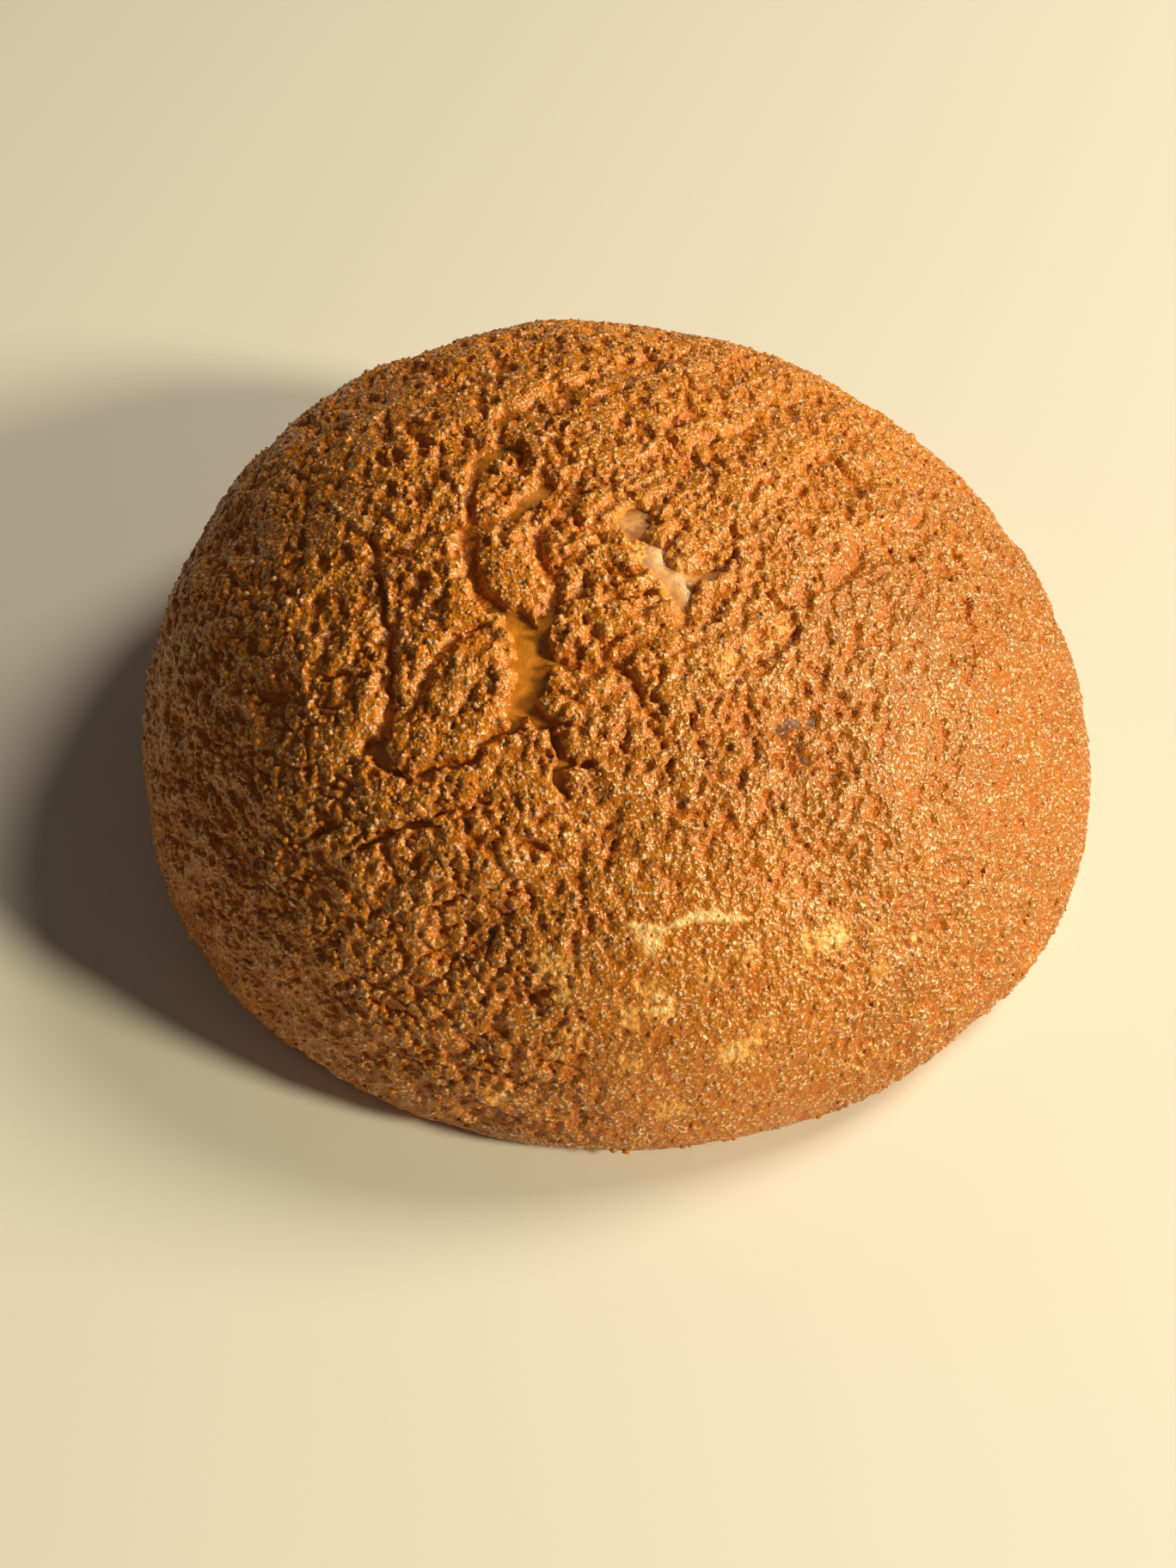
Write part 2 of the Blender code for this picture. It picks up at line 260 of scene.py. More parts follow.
# The levels of its noise at which each kind of form starts and is full. Those of pits and holes are
# counted from the level that makes them scarce, scarcer on the calm flank and in the smooth corner.
HOLLOW_LEVELS = (0.0, 0.45)
LOOSE_LEVELS = (-0.15, 0.2)
GAP_LEVELS = (0.04, 0.18)
LUMP_LEVELS = (0.0, 0.25)
CRUMB_LUMP_LEVELS = (0.0, 0.35)
GROOVE_LEVELS = (0.17, 0.29)
FINE_PIT_LEVELS = (0.28, 0.38)
PORE_LEVELS = (0.14, 0.36)
FLECK_LEVELS = (-0.5, 0.1)
PIT_SCARCITY = 0.19
CALM_SCARCITY = 0.08
SMOOTH_SCARCITY = 0.13
PIT_LEVELS = (0.0, 0.17)
HOLE_LEVELS = (0.2, 0.34)

# How high the crust swells and the bread folds and dimples, and the most that all the hollows, pits
# and grooves of the crust sink it together.
SWELLING_HEIGHT = 0.5 * MM
MOST_DEPTH = 1.2 * MM
BREAD_FOLD_HEIGHT = 0.25 * MM
BREAD_DIMPLE_HEIGHT = 0.26 * MM

# The pieces: how fine their meshes are, where the crust is cut (turns in degrees), how its base steps
# in, how high the lowest grains sit, how deep (from 0 to 1) a pit's rim is, and how grains vary.
SKIN_NAME = "crust_skin"
CRUST_SUBDIVISIONS = 9
BREAD_SUBDIVISIONS = 7
CROWN_CUT = 33.0 * MM
FLANK_TURN = 210
FLANK_SPAN = 120
BASE_LEDGE = 4.0 * MM
BASE_RISE = 0.4 * MM
FLAT_BASE = 0.1 * MM
BROWNED_BASE = (1.0 * MM, 4.0 * MM)
LOWEST_GRAIN = 1.2 * MM
PIT_RIM = 0.3
GRAIN_STRETCH = (0.65, 1.35)

# Patterns of the materials in real sizes, but for the grains: baked_cookie_crust says why.
BROWNING_PATCH = 6.0 * MM
GRAIN_STRAY = 0.3 * MM
GRAIN_BUMP = 0.26 * MM
BREAD_FIBRE = 0.9 * MM
BREAD_BUMP = 0.25 * MM
BREAD_TRANSLUCENCE = 1.2 * MM

# The studio. Each light has a name, a direction in plan, its elevation in degrees, its distance and
# width in metres, its power in watts and its tint.
LIGHTS = (
    ("key", (0.88, -0.47), 27.0, 0.9, 0.15, 8.5, (1.0, 0.92, 0.62)),
    ("top", (0.8, 0.35), 44.0, 1.0, 0.4, 7.0, (1.0, 0.90, 0.70)),
    ("fill", (-0.7, -0.7), 55.0, 1.2, 1.2, 0.3, (1.0, 0.90, 0.75)),
)
LIGHT_AIM = Vector((0.0, 0.0, 0.02))
WORLD_TINT = (1.0, 0.88, 0.68, 1.0)
WORLD_STRENGTH = 0.05
FLOOR_SIZE = 6.0
FLOOR_DROP = 0.1 * MM
CAMERA_PLACE = (-0.00278, -0.16622, 0.180)
CAMERA_PITCH = 47.72
CAMERA_LENS = 49.91
CAMERA_SENSOR = 36.0


def linear(hex_code):
    """An sRGB hex colour as the linear values that Blender's sockets take."""
    values = [int(hex_code[i : i + 2], 16) / 255 for i in (0, 2, 4)]
    return tuple(v / 12.92 if v <= 0.04045 else ((v + 0.055) / 1.055) ** 2.4 for v in values)


def length_property(name, description, millimetres):
    return FloatProperty(
        name=name, description=description, default=millimetres * MM, unit="LENGTH", precision=5
    )


def colour_property(name, description, hex_code):
    return FloatVectorProperty(
        name=name, description=description, default=linear(hex_code), subtype="COLOR", size=3,
        min=0.0, max=1.0,
    )


def count_property(name, description, count):
    return IntProperty(name=name, description=description, default=count, min=0)


class CoffeeBunSizes(bpy.types.PropertyGroup):
    crack_depth: length_property("Crack depth", "How deep the cracks go into the bun", 2.1)
    bread_depth: length_property("Crust thickness", "How far the bread lies under the crust", 1.55)
    bread_swell: length_property("Bread swell", "How far the palest bread swells up in a crack", 0.85)
    plate_lift: length_property("Plate lift", "How far the broken plates stand proud", 0.5)
    hollow_depth: length_property("Hollow depth", "Depth of the broad hollows", 0.52)
    groove_depth: length_property("Groove depth", "Depth of the grooves across the plates", 0.55)
    gap_depth: length_property("Gap depth", "Depth of the gaps between lumps", 0.45)
    groove_floor: length_property("Closed crack depth", "Depth of a crack floored with crust", 1.05)
    pit_depth: length_property("Pit depth", "Depth of the ragged pits", 0.58)
    pore_depth: length_property("Pore depth", "Depth of the pores in the sides", 0.4)
    lump_height: length_property("Lump height", "Height of the small lumps", 0.15)
    grain_size: length_property("Grain size", "Across one grain in the crust's finish", 0.34)
    sand_size: length_property("Sand size", "Between the round grains in the crust's finish", 0.32)
    crumb_count: count_property("Crumbs", "Loose-standing crumbs of crust", 4500)
    grain_count: count_property("Grains", "Sandy grains of crust", 6000)
    sugar_count: count_property("Sugar", "Glinting grains of sugar", 5000)


class CoffeeBunColours(bpy.types.PropertyGroup):
    # Pale gold: a painted highlight on the crust's grain crests, and the paler crumbs and sugar.
    crust_gold_and_glint: colour_property("Crust gold", "Grains and high spots of the crust", "F5D2AE")
    crust_brown: colour_property("Crust brown", "Body colour of the crust", "D08018")
    # Orange of the thin crust, painted darker on the side the key light falls on hardest, and the torn
    # crust's painted glow.
    crust_ember: colour_property("Crust orange", "Thin, smooth and torn places of the crust", "A86606")
    # Painted shade and glow for hollows, crack walls and the gaps between grains: a saturated orange.
    crust_deep_shade: colour_property("Crust hollow", "Hollows and crack walls", "BC5C02")
    bread_pale: colour_property("Pale bread", "Bread where it tore open last", "F0BC8A")
    bread_amber: colour_property("Amber bread", "Moist bread in the wider cracks", "E09028")
    # Browned bread, made dark as painted shade for the bread deep in the narrow cracks.
    bread_brown: colour_property("Browned bread", "Bread that browned in the narrow cracks", "7C430F")
    base_brown: colour_property("Base brown", "Underside of the roll", "B8803F")
    sugar: colour_property("Sugar", "Grains that glisten on the crust", "F2B060")
    glint: colour_property("Glint", "Tint of the light that the crust throws back", "FFF3D7")
    # Also the pale painted glow along the crust's torn edges beside the bread.
    thin: colour_property("Thin crust", "Golden flecks where the crust is thin", "F0A850")
    scuff: colour_property("Scuff", "The pale scuffed lip", "F7CC90")
    floor: colour_property("Floor", "The studio floor", "ECE6DC")


def sizes():
    return bpy.context.scene.coffee_bun_sizes


def colours():
    return bpy.context.scene.coffee_bun_colours


# ---------------------------------------------------------------- form


def smooth_step(low, high, value):
    """0 up to low, 1 from high, and a smooth rise between."""
    share = np.clip((value - low) / (high - low), 0.0, 1.0)
    return share * share * (3.0 - 2.0 * share)


def plan_factor(azimuth):
    """How far the uneven outline lies from the middle at an azimuth, in radii."""
    factor = 1.0
    for lobes, cosine, sine in PLAN_LOBES:
        factor = factor + cosine * np.cos(lobes * azimuth) + sine * np.sin(lobes * azimuth)
    return factor


def plan_centre():
    """The middle of the uneven outline's box, which stands at the origin."""
    azimuth = np.linspace(0.0, 2.0 * math.pi, 3600)
    x = RADIUS * plan_factor(azimuth) * np.cos(azimuth)
    y = RADIUS * plan_factor(azimuth) * np.sin(azimuth)
    return 0.5 * (x.max() + x.min()), 0.5 * (y.max() + y.min())


CENTRE_X, CENTRE_Y = plan_centre()


def bun_form(sphere):
    """Moves points of a unit hemisphere onto the smooth bun, evenly spaced down its side."""
    azimuth = np.arctan2(sphere[:, 1], sphere[:, 0])
    down = np.arccos(np.clip(sphere[:, 2], 0.0, 1.0)) / (0.5 * math.pi)
    rise = HEIGHT - WIDEST_HEIGHT
    dome_length = 0.5 * math.pi * math.sqrt((RADIUS**2 + rise**2) / 2)
    edge_length = 0.5 * math.pi * math.sqrt((BASE_INSET**2 + WIDEST_HEIGHT**2) / 2)
    dome_share = dome_length / (dome_length + edge_length)
    dome = 0.5 * math.pi * np.clip(1.0 - down / dome_share, 0.0, 1.0)
    edge = 0.5 * math.pi * np.clip((down - dome_share) / (1.0 - dome_share), 0.0, 1.0)
    radius = RADIUS * np.cos(dome) ** (2.0 / CROWN_POWER) - BASE_INSET * (1.0 - np.cos(edge))
    radius = radius * plan_factor(azimuth)
    height = WIDEST_HEIGHT * (1.0 - np.sin(edge)) + rise * np.sin(dome) ** (2.0 / CROWN_POWER)
    return np.column_stack(
        (radius * np.cos(azimuth) - CENTRE_X, radius * np.sin(azimuth) - CENTRE_Y, height)
    )


def on_dome(x, y):
    """The point of the smooth dome above a plan place."""
    from_x, from_y = x + CENTRE_X, y + CENTRE_Y
    reach = math.hypot(from_x, from_y) / (RADIUS * plan_factor(math.atan2(from_y, from_x)))
    rise = max(1.0 - min(reach, 1.0) ** CROWN_POWER, 0.0) ** (1.0 / CROWN_POWER)
    return np.array((x, y, WIDEST_HEIGHT + (HEIGHT - WIDEST_HEIGHT) * rise))


def pattern_places(points, spacing, seed):
    """The points as places in a pattern whose forms are one unit apart."""
    return (points / spacing + np.array(SEED_SHIFT) * seed).tolist()


def noise_at(points, spacing, seed):
    """Smooth noise from about -1 to 1 with bumps about one spacing apart."""
    return np.array([noise.noise(place) for place in pattern_places(points, spacing, seed)])


def nearest_cell(points, spacing, seed):
    """Distance to the nearest of scattered cell centres, in spacings."""
    return np.array([noise.voronoi(place)[0][0] for place in pattern_places(points, spacing, seed)])


def scattered_cells(points, spacing, seed):
    """(how far past the gap between two scattered cells, in spacings; each cell's own level)."""
    past, levels = [], []
    for place in pattern_places(points, spacing, seed):
        away, centres = noise.voronoi(place)
        past.append(away[1] - away[0])
        levels.append(noise.noise(centres[0] * CELL_LEVEL_SCALE))
    return np.array(past), np.array(levels)


def drawn_out(points, angle, stretch):
    """The points as a pattern sees them that is drawn out along one direction of the plan."""
    along = (points[:, 0] * math.cos(angle) + points[:, 1] * math.sin(angle)) / stretch
    across = points[:, 1] * math.cos(angle) - points[:, 0] * math.sin(angle)
    return np.column_stack((along, across, points[:, 2]))


def route_on_dome(route):
    """The points of a route, in millimetres in plan, laid on the dome with its long legs split."""
    laid = []
    for (x0, y0), (x1, y1) in zip(route, route[1:]):
        legs = max(1, math.ceil(math.hypot(x1 - x0, y1 - y0) * MM / LONGEST_LEG))
        for step in range(legs):
            share = step / legs
            laid.append(on_dome((x0 + (x1 - x0) * share) * MM, (y0 + (y1 - y0) * share) * MM))
    laid.append(on_dome(route[-1][0] * MM, route[-1][1] * MM))
    return laid


def beyond_route(points, route, widths):
    """Distance from each point to the edge of a band along a route, negative inside it."""
    laid = route_on_dome(route)
    legs = len(laid) - 1
    nearest = np.full(len(points), FAR_OFF)
    for leg, (start, end) in enumerate(zip(laid, laid[1:])):
        run = end - start
        along = np.clip((points - start) @ run / (run @ run), 0.0, 1.0)
        away = np.linalg.norm(points - start - along[:, None] * run, axis=1)
        half_width = 0.5 * (widths[0] + (widths[1] - widths[0]) * (leg + along) / legs)
        nearest = np.minimum(nearest, away - half_width)
    return nearest


def crumbled(points):
    """The points as a pattern sees them that is to have ragged, scalloped edges."""
    ragged = points.copy()
    for axis in range(3):
        for stray, spacing, seed in SCALLOPS:
            ragged[:, axis] += stray * noise_at(points, spacing, seed + axis)
    return ragged


def crack_distance(points, ragged):
    """Distance to the nearest crack's edge."""
    nearest = np.full(len(points), FAR_OFF)
    for start_width, end_width, route in CRACKS:
        centre = np.mean([on_dome(x * MM, y * MM) for x, y in route], axis=0)
        near = np.linalg.norm(points - centre, axis=1) < CRACK_SEARCH
        beyond = beyond_route(ragged[near], route, (start_width * MM, end_width * MM))
        nearest[near] = np.minimum(nearest[near], beyond - 0.5 * CRACK_OPENING)
    return nearest


def near_spots(points, spots, ragged):
    """How much each point lies in any of some ragged spots: (x, y, reach, strength)."""
    field = np.zeros(len(points))
    for x, y, reach, strength in spots:
        away = np.linalg.norm(points - on_dome(x * MM, y * MM), axis=1) + ragged
        within = 1.0 - smooth_step(SPOT_HEART * reach * MM, reach * MM, away)
        field = np.maximum(field, strength * within)
    return field


def in_bands(points, bands, ragged, edge):
    """How much each point lies in any of some bands: 1 inside, fading over the edge's two distances."""
    away = np.full(len(points), FAR_OFF)
    for start_width, end_width, route in bands:
        away = np.minimum(away, beyond_route(points, route, (start_width * MM, end_width * MM)))
    return 1.0 - smooth_step(*edge, away + ragged)


# ---------------------------------------------------------------- relief


def crust_ground(points):
    """The points of the crust, its zones from 0 to 1, and the grit that roughens all its forms."""
    x, y = points[:, 0], points[:, 1]
    reach = np.hypot(x, y)
    from_smooth = np.hypot(x - SMOOTH_CORNER[0], y - SMOOTH_CORNER[1])
    from_plates = np.hypot(x - PLATE_CENTRE[0], y - PLATE_CENTRE[1])
    return SimpleNamespace(
        points=points,
        ragged=crumbled(points),
        rough=smooth_step(*SMOOTH_BAND, from_smooth),
        calm=smooth_step(*CALM_BAND, x),
        crown=1.0 - smooth_step(*CROWN_BAND, reach),
        side=smooth_step(*SIDE_BAND, reach / RADIUS),
        plates=1.0 - smooth_step(*PLATE_BAND, from_plates),
        coarse=noise_at(points, *COARSE_GRIT),
        lumpy=noise_at(points, *LUMPY_GRIT),
        sandy=noise_at(points, *SANDY_GRIT),
    )


def cracks(at):
    """(inside a crack, away from its shoulder, on a shelf in it, how deep it is)."""
    size = sizes()
    beyond = crack_distance(at.points, at.ragged)
    broken = 1.0 - smooth_step(-CRACK_WALL, 0.0, beyond)
    shoulder = smooth_step(0.0, CRACK_SHOULDER, beyond)
    openings = [(x, y, reach, 1.0) for x, y, reach, _ in AMBER_BREAD]
    opened = near_spots(at.points, openings, OPENING_STRAY * at.coarse)
    shelf = near_spots(at.points, SHELVES, SHELF_STRAY * at.lumpy)
    depth = size.groove_floor + (size.crack_depth - size.groove_floor) * opened * (1.0 - shelf)
    return broken, shoulder, shelf, depth * (1.0 - 0.45 * shelf)


def hollows(at):
    """Broad hollows, drawn out one way."""
    level = noise_at(drawn_out(at.points, DRAG, HOLLOW_STRETCH), *HOLLOWS)
    return smooth_step(*HOLLOW_LEVELS, level + 0.15 * at.coarse)


def grooves(at):
    """Grooves across the crown, most of them on its plates."""
    level = noise_at(drawn_out(at.points, DRAG, GROOVE_STRETCH), *GROOVES)
    groove = smooth_step(*GROOVE_LEVELS, level + 0.28 * at.lumpy)
    return at.crown * (0.15 + 0.85 * at.plates) * groove


def lumps(at):
    """(height of the lumps and of the smaller crumb lumps on them, gaps between loose lumps)."""
    past, level = scattered_cells(drawn_out(at.ragged, DRAG, LUMP_STRETCH), *LUMPS)
    loose = smooth_step(*LOOSE_LEVELS, noise_at(at.points, *LOOSE_PATCHES)) * (1.0 - 0.7 * at.calm)
    gap = loose * (1.0 - smooth_step(*GAP_LEVELS, past))
    half_ragged = at.points + 0.25 * (at.ragged - at.points)
    crumb_past, crumb_level = scattered_cells(half_ragged, *CRUMB_LUMPS)
    lump = 0.6 * at.coarse + 0.5 * at.lumpy + 0.4 * at.sandy
    lump += 0.9 * level * (0.3 + 0.7 * at.plates) * smooth_step(*LUMP_LEVELS, past)
    lump += 0.5 * crumb_level + (smooth_step(*CRUMB_LUMP_LEVELS, crumb_past) - 0.6)
    return lump, gap


def pits(at):
    """Ragged pits, larger holes and fine pits, drawn out up the sides and scarce on sound plates."""
    upright = drawn_out(at.points + 0.5 * (at.ragged - at.points), UPRIGHT, PIT_STRETCH)
    scarcity = PIT_SCARCITY + CALM_SCARCITY * at.calm + SMOOTH_SCARCITY * (1.0 - at.rough)
    level = noise_at(upright, *PITS) + 0.34 * at.lumpy + 0.2 * at.sandy
    pit = smooth_step(scarcity + PIT_LEVELS[0], scarcity + PIT_LEVELS[1], level)
    hole_level = noise_at(upright, *HOLES) + 0.25 * at.coarse + 0.25 * at.lumpy
    hole = smooth_step(scarcity + HOLE_LEVELS[0], scarcity + HOLE_LEVELS[1], hole_level)
    fine_level = noise_at(drawn_out(at.points, UPRIGHT, FINE_PIT_STRETCH), *FINE_PITS)
    fine = smooth_step(*FINE_PIT_LEVELS, fine_level + 0.25 * at.sandy)
    fine = (0.8 - 0.7 * at.rough * (1.0 - at.calm)) * fine
    sound = near_spots(at.points, SOUND_PLATES, PLATE_STRAY * at.coarse)
    sound = np.maximum(sound, 0.55 * at.plates)
    return np.maximum(np.maximum(pit, hole) * (1.0 - 0.8 * sound), fine)


def pores(at):
    """Rounded pores in the sides."""
    away = nearest_cell(drawn_out(at.points, UPRIGHT, PORE_STRETCH), *PORES) + 0.15 * at.lumpy
    return at.side * (1.0 - 0.6 * at.calm) * (1.0 - smooth_step(*PORE_LEVELS, away))


def scuffs(at):
    """(height of the scuffed lip and of the skin below it, how worn the crust is)."""
    lip = in_bands(at.points, SCUFFED_LIP, LIP_STRAY * at.lumpy, LIP_EDGE)
    skin = in_bands(at.points, SCUFFED_SKIN, SCUFFED_SKIN_STRAY * at.lumpy, SCUFFED_SKIN_EDGE)
    skin = skin * smooth_step(*SCUFFED_SKIN_TOP, -at.points[:, 1])
    flecks = near_spots(at.points, FLECKS, FLECK_STRAY * at.lumpy)
    flecks = flecks * smooth_step(*FLECK_LEVELS, at.sandy + 0.4 * at.lumpy)
    worn = np.maximum(np.maximum(0.95 * lip, 0.8 * skin), flecks)
    return LIP_HEIGHT * lip + SCUFFED_SKIN_HEIGHT * skin, worn


def crust_relief(points):
    """(height over the smooth form in metres, fields that colour the crust) at each point."""
    size = sizes()
    at = crust_ground(points)
    broken, shoulder, shelf, crack = cracks(at)
    hollow, pit, pore = hollows(at), pits(at), pores(at)
    lump, gap = lumps(at)
    beside_oval = 1.0 - 0.9 * near_spots(points, OVAL_PLATE, OVAL_STRAY * at.coarse)
    groove = grooves(at) * beside_oval
    gap = gap * beside_oval
    scuffed, worn = scuffs(at)

    depth = size.hollow_depth * hollow * (0.2 + 0.8 * at.rough)
    depth += size.groove_depth * groove + size.gap_depth * gap * at.rough
    depth += (
        size.pit_depth * pit * (0.45 + 0.55 * at.rough) * (1.0 - 0.3 * at.calm) * (1.0 - 0.35 * at.side)
    )
    depth += size.pore_depth * pore * (0.3 + 0.7 * at.rough)
    height = SWELLING_HEIGHT * noise_at(points, *SWELLINGS) - SKIN_INSET
    height += size.plate_lift * at.plates * (0.4 + 0.6 * shoulder)
    height -= np.minimum(depth, MOST_DEPTH) * (1.0 - broken) + crack * broken
    height += (
        size.lump_height * lump * (1.0 + 0.5 * at.calm) * (0.7 + 0.3 * at.rough) * (1.0 - 0.4 * broken)
    )
    height += scuffed
    height *= smooth_step(0.0, BASE_RIM_FADE, points[:, 2])

    # How deep each point lies, which paints shade into the pits, grooves, gaps, pores, hollows and
    # cracks.
    deep = 0.85 * pit + 0.7 * groove + 0.7 * gap + 0.4 * pore + 0.25 * hollow * at.rough
    deep = np.clip(deep, 0.0, 1.0) * (1.0 - broken)
    deep = np.maximum(deep, broken * (1.0 - 0.8 * shelf)) * (1.0 - 0.7 * worn)
    # Torn crust beside the pale bread gets a painted glow, orange through ember and pale through worn;
    # thin crust is orange, painted darker toward the key light.
    pale_spots = [(x, y, TORN_REACH * reach, pale) for x, y, reach, pale in PALE_BREAD]
    torn = near_spots(points, pale_spots, 0.0)
    thinward = THIN_TOWARDS[0] * points[:, 0] + THIN_TOWARDS[1] * points[:, 1]
    thin = smooth_step(*THIN_BAND, thinward / RADIUS) * (0.5 + 0.5 * at.rough)
    ember = np.clip(thin + 0.8 * torn * (1.0 - shoulder), 0.0, 1.0)
    worn = np.maximum(worn, np.maximum(0.5 * torn * (1.0 - shoulder), 0.2 * shelf))
    return height, {"deep": deep, "ember": ember, "worn": worn, "plates": at.plates}


# ---------------------------------------------------------------- modelling


def deselect():
    bpy.ops.object.select_all(action="DESELECT")


def half_ball(name, subdivisions):
    """A unit hemisphere closed by one flat face, as the active object."""
    deselect()
    bpy.ops.mesh.primitive_ico_sphere_add(subdivisions=subdivisions, radius=1.0)
    piece = bpy.context.object
    piece.name = name
    piece.data.name = name
    bpy.ops.object.mode_set(mode="EDIT")
    bpy.ops.mesh.select_all(action="SELECT")
    bpy.ops.mesh.bisect(
        plane_co=(0, 0, 0), plane_no=(0, 0, -1), clear_outer=True, use_fill=True, threshold=1e-5
    )
    bpy.ops.mesh.select_all(action="DESELECT")
    bpy.ops.object.mode_set(mode="OBJECT")
    for layer in list(piece.data.uv_layers):
        piece.data.uv_layers.remove(layer)
    return piece


def read_points(mesh):
    points = np.empty(3 * len(mesh.vertices))
    mesh.vertices.foreach_get("co", points)
    return points.reshape(-1, 3)


def read_normals(mesh):
    normals = np.empty(3 * len(mesh.vertices))
    mesh.vertices.foreach_get("normal", normals)
    return normals.reshape(-1, 3)


def write_points(mesh, points):
    mesh.vertices.foreach_set("co", points.ravel())
    mesh.update()


def paint(mesh, name, values):
    layer = mesh.attributes.new(name, "FLOAT", "POINT")
    layer.data.foreach_set("value", values.astype(np.float32))


def read_paint(mesh, name):
    values = np.empty(len(mesh.vertices), np.float32)
    mesh.attributes[name].data.foreach_get("value", values)
    return values


def crust_cuts():
    """(name, planes) of each piece of the crust: its crown, and the three flanks below it."""
    yield "crust_crown", [((0, 0, CROWN_CUT), (0, 0, -1))]
    for flank, name in enumerate(("crust_front", "crust_right", "crust_left")):
        planes = [((0, 0, CROWN_CUT), (0, 0, 1))]
        start = FLANK_TURN + FLANK_SPAN * flank
        for turn, outward in ((start, -1), (start + FLANK_SPAN, 1)):
            azimuth = math.radians(turn)
            planes.append(((0, 0, 0), (-outward * math.sin(azimuth), outward * math.cos(azimuth), 0)))
        yield name, planes


def cut_from(whole, name, planes):
    """A closed piece of the whole: what lies behind each plane, given as (point, outward normal)."""
    deselect()
    whole.select_set(True)
    bpy.context.view_layer.objects.active = whole
    bpy.ops.object.duplicate()
    piece = bpy.context.object
    piece.name = name
    piece.data.name = name
    bpy.ops.object.mode_set(mode="EDIT")
    for point, outward in planes:
        bpy.ops.mesh.select_all(action="SELECT")
        bpy.ops.mesh.bisect(
            plane_co=point, plane_no=outward, clear_outer=True, use_fill=True, threshold=1e-7
        )
        bpy.ops.mesh.mark_sharp()
    bpy.ops.mesh.select_all(action="DESELECT")
    bpy.ops.object.mode_set(mode="OBJECT")
    return piece


def hollow_base(piece, inset, rise):
    """Steps the flat base in from its rim and up, to make room for the bread."""
    deselect()
    piece.select_set(True)
    bpy.context.view_layer.objects.active = piece
    base = max(piece.data.polygons, key=lambda face: len(face.vertices))
    base.select = True
    bpy.ops.object.mode_set(mode="EDIT")
    bpy.ops.mesh.select_mode(type="FACE")
    bpy.ops.mesh.inset(thickness=inset)
    bpy.ops.transform.translate(value=(0, 0, rise))
    bpy.ops.mesh.select_all(action="DESELECT")
    bpy.ops.object.mode_set(mode="OBJECT")


def finish_piece(piece, material):
    """Gives a piece its finish, and puts it on the bun's body in place of the solid."""
    piece.data.materials.clear()
    piece.data.materials.append(material)
    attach(piece, BODY)
    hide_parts(NODE)


def grain_shape(segments, rings=0):
    """One grain, as (points, triangles): a faceted ball, or a pointed chip where it has no rings."""
    deselect()
    if rings:
        bpy.ops.mesh.primitive_uv_sphere_add(segments=segments, ring_count=rings, radius=0.5)
    else:
        bpy.ops.mesh.primitive_cone_add(vertices=segments, radius1=0.5, depth=0.8)
    grain = bpy.context.object
    bpy.ops.object.mode_set(mode="EDIT")
    bpy.ops.mesh.select_all(action="SELECT")
    bpy.ops.mesh.quads_convert_to_tris()
    bpy.ops.object.mode_set(mode="OBJECT")
    points = read_points(grain.data)
    triangles = np.array([tuple(face.vertices) for face in grain.data.polygons])
    mesh = grain.data
    bpy.data.objects.remove(grain)
    bpy.data.meshes.remove(mesh)
    return points, triangles


def turned(count, random):
    """Random turns, as matrices."""
    quaternions = random.normal(size=(4, count))
    w, x, y, z = quaternions / np.linalg.norm(quaternions, axis=0)
    rows = (
        (1 - 2 * (y * y + z * z), 2 * (x * y - z * w), 2 * (x * z + y * w)),
        (2 * (x * y + z * w), 1 - 2 * (x * x + z * z), 2 * (y * z - x * w)),
        (2 * (x * z - y * w), 2 * (y * z + x * w), 1 - 2 * (x * x + y * y)),
    )
    return np.moveaxis(np.array(rows), 2, 0)


def skin_corners(skin):
    """The corners of each triangle of the skin, as three point numbers."""
    skin.calc_loop_triangles()
    corners = np.empty(3 * len(skin.loop_triangles), np.int32)
    skin.loop_triangles.foreach_get("vertices", corners)
    return corners.reshape(-1, 3)


